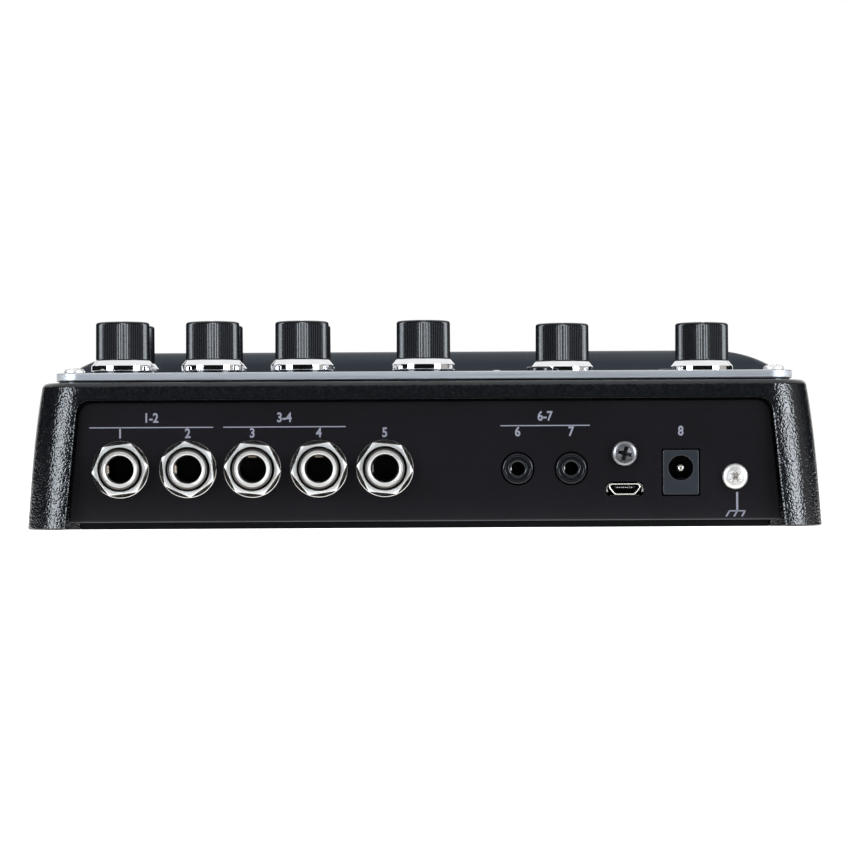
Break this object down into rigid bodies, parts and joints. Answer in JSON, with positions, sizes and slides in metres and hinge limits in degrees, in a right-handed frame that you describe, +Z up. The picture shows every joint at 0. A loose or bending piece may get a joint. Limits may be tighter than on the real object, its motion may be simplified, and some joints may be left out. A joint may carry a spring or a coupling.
{
  "type": "delay pedal",
  "caption": "Guitar delay pedal with a drafted cast case, sloping control plate with knobs, raised footswitch deck and a rear panel of audio, control, data and power sockets.",
  "frame": {"origin": "centre of the case's footprint, on the surface it stands on", "axes": "+Z up, +X to the player's right, +Y to the rear where the sockets are"},
  "size_m": [0.1934, 0.1329, 0.0507],
  "materials": {
    "housing_crinkle": "black crinkle coat on cast metal",
    "deck_satin": "smooth satin black coat",
    "panel_satin": "smooth satin black coat",
    "plate_aluminium": "fine brushed, anodised",
    "nickel": "bright nickel plate",
    "chrome": "polished chrome plate",
    "dark_steel": "grey zinc plate",
    "gloss_black": "glossy black moulding",
    "moulded_grey": "dark grey moulding",
    "board_green": "solder mask",
    "clear_lens": "clear moulding"
  },
  "bodies": {
    "case": {"main_housing": "housing_crinkle", "top_plate": "plate_aluminium", "footswitch_deck": "deck_satin", "rear_panel": "panel_satin", "bottom_cover": "panel_satin", "control_board": "board_green", "jack_board": "board_green", "usb_port": "nickel", "dc_jack": "moulded_grey", "dc_pin": "nickel", "rear_panel_screw": "dark_steel", "ground_screw": "nickel", "status_light_guide": "clear_lens", "memory_light_guide": "clear_lens", "top_plate_screw_1": "nickel", "top_plate_screw_2": "nickel", "top_plate_screw_3": "nickel", "top_plate_screw_4": "nickel", "cover_screw_1": "dark_steel", "cover_screw_2": "dark_steel", "cover_screw_3": "dark_steel", "cover_screw_4": "dark_steel", "jack_1": "nickel", "jack_2": "nickel", "jack_3": "nickel", "jack_4": "nickel", "jack_5": "nickel", "jack_nut_1": "nickel", "jack_nut_2": "nickel", "jack_nut_3": "nickel", "jack_nut_4": "nickel", "jack_nut_5": "nickel", "mini_jack_1": "gloss_black", "mini_jack_2": "gloss_black", "footswitch_body_1": "nickel", "footswitch_body_2": "nickel", "footswitch_body_3": "nickel"},
    "knob_1": {"knob_1_stem": "chrome", "knob_1_cap": "gloss_black"},
    "knob_2": {"knob_2_stem": "chrome", "knob_2_cap": "gloss_black"},
    "knob_3": {"knob_3_stem": "chrome", "knob_3_cap": "gloss_black"},
    "knob_4": {"knob_4_stem": "chrome", "knob_4_cap": "gloss_black"},
    "knob_5": {"knob_5_stem": "chrome", "knob_5_cap": "gloss_black"},
    "knob_6": {"knob_6_stem": "chrome", "knob_6_cap": "gloss_black"},
    "knob_7": {"knob_7_stem": "chrome", "knob_7_cap": "gloss_black"},
    "knob_8": {"knob_8_stem": "chrome", "knob_8_cap": "gloss_black"},
    "knob_9": {"knob_9_stem": "chrome", "knob_9_cap": "gloss_black"},
    "footswitch_1": {"footswitch_cap_1": "chrome"},
    "footswitch_2": {"footswitch_cap_2": "chrome"},
    "footswitch_3": {"footswitch_cap_3": "chrome"},
    "memory_button": {"memory_button": "gloss_black"},
    "tape_button": {"tape_button": "gloss_black"}
  },
  "joints": [
    {"name": "knob_1_turn", "type": "hinge", "parent": "case", "child": "knob_1", "pos_m": [0.07387, 0.0471, 0.03776], "axis": [0, -0.0192, 0.9998], "range_deg": [-150, 150]},
    {"name": "knob_2_turn", "type": "hinge", "parent": "case", "child": "knob_2", "pos_m": [0.05182, 0.0471, 0.03776], "axis": [0, -0.0192, 0.9998], "range_deg": [-150, 150]},
    {"name": "knob_3_turn", "type": "hinge", "parent": "case", "child": "knob_3", "pos_m": [0.02992, 0.0471, 0.03776], "axis": [0, -0.0192, 0.9998], "range_deg": [-150, 150]},
    {"name": "knob_4_turn", "type": "hinge", "parent": "case", "child": "knob_4", "pos_m": [0.00017, 0.0471, 0.03776], "axis": [0, -0.0192, 0.9998], "range_deg": [-165, 165]},
    {"name": "knob_5_turn", "type": "hinge", "parent": "case", "child": "knob_5", "pos_m": [-0.03416, 0.0346, 0.03752], "axis": [0, -0.0192, 0.9998], "range_deg": [-150, 150]},
    {"name": "knob_6_turn", "type": "hinge", "parent": "case", "child": "knob_6", "pos_m": [-0.06871, 0.0346, 0.03752], "axis": [0, -0.0192, 0.9998], "range_deg": [-150, 150]},
    {"name": "knob_7_turn", "type": "hinge", "parent": "case", "child": "knob_7", "pos_m": [0.07387, 0.02211, 0.03728], "axis": [0, -0.0192, 0.9998], "range_deg": [-150, 150]},
    {"name": "knob_8_turn", "type": "hinge", "parent": "case", "child": "knob_8", "pos_m": [0.05182, 0.02211, 0.03728], "axis": [0, -0.0192, 0.9998], "range_deg": [-150, 150]},
    {"name": "knob_9_turn", "type": "hinge", "parent": "case", "child": "knob_9", "pos_m": [0.02992, 0.02211, 0.03728], "axis": [0, -0.0192, 0.9998], "range_deg": [-150, 150]},
    {"name": "footswitch_1_press", "type": "slide", "parent": "case", "child": "footswitch_1", "axis": [0, -0.2079, 0.9781], "range_m": [-0.0018, 0], "stiffness_N_per_m": 900, "springref_m": 0.001},
    {"name": "footswitch_2_press", "type": "slide", "parent": "case", "child": "footswitch_2", "axis": [0, -0.2079, 0.9781], "range_m": [-0.0018, 0], "stiffness_N_per_m": 900, "springref_m": 0.001},
    {"name": "footswitch_3_press", "type": "slide", "parent": "case", "child": "footswitch_3", "axis": [0, -0.2079, 0.9781], "range_m": [-0.0018, 0], "stiffness_N_per_m": 900, "springref_m": 0.001},
    {"name": "memory_press", "type": "slide", "parent": "case", "child": "memory_button", "axis": [0, -0.0192, 0.9998], "range_m": [-0.0006, 0], "stiffness_N_per_m": 500, "springref_m": 0.0008},
    {"name": "tape_press", "type": "slide", "parent": "case", "child": "tape_button", "axis": [0, -0.0192, 0.9998], "range_m": [-0.0006, 0], "stiffness_N_per_m": 500, "springref_m": 0.0008}
  ]
}
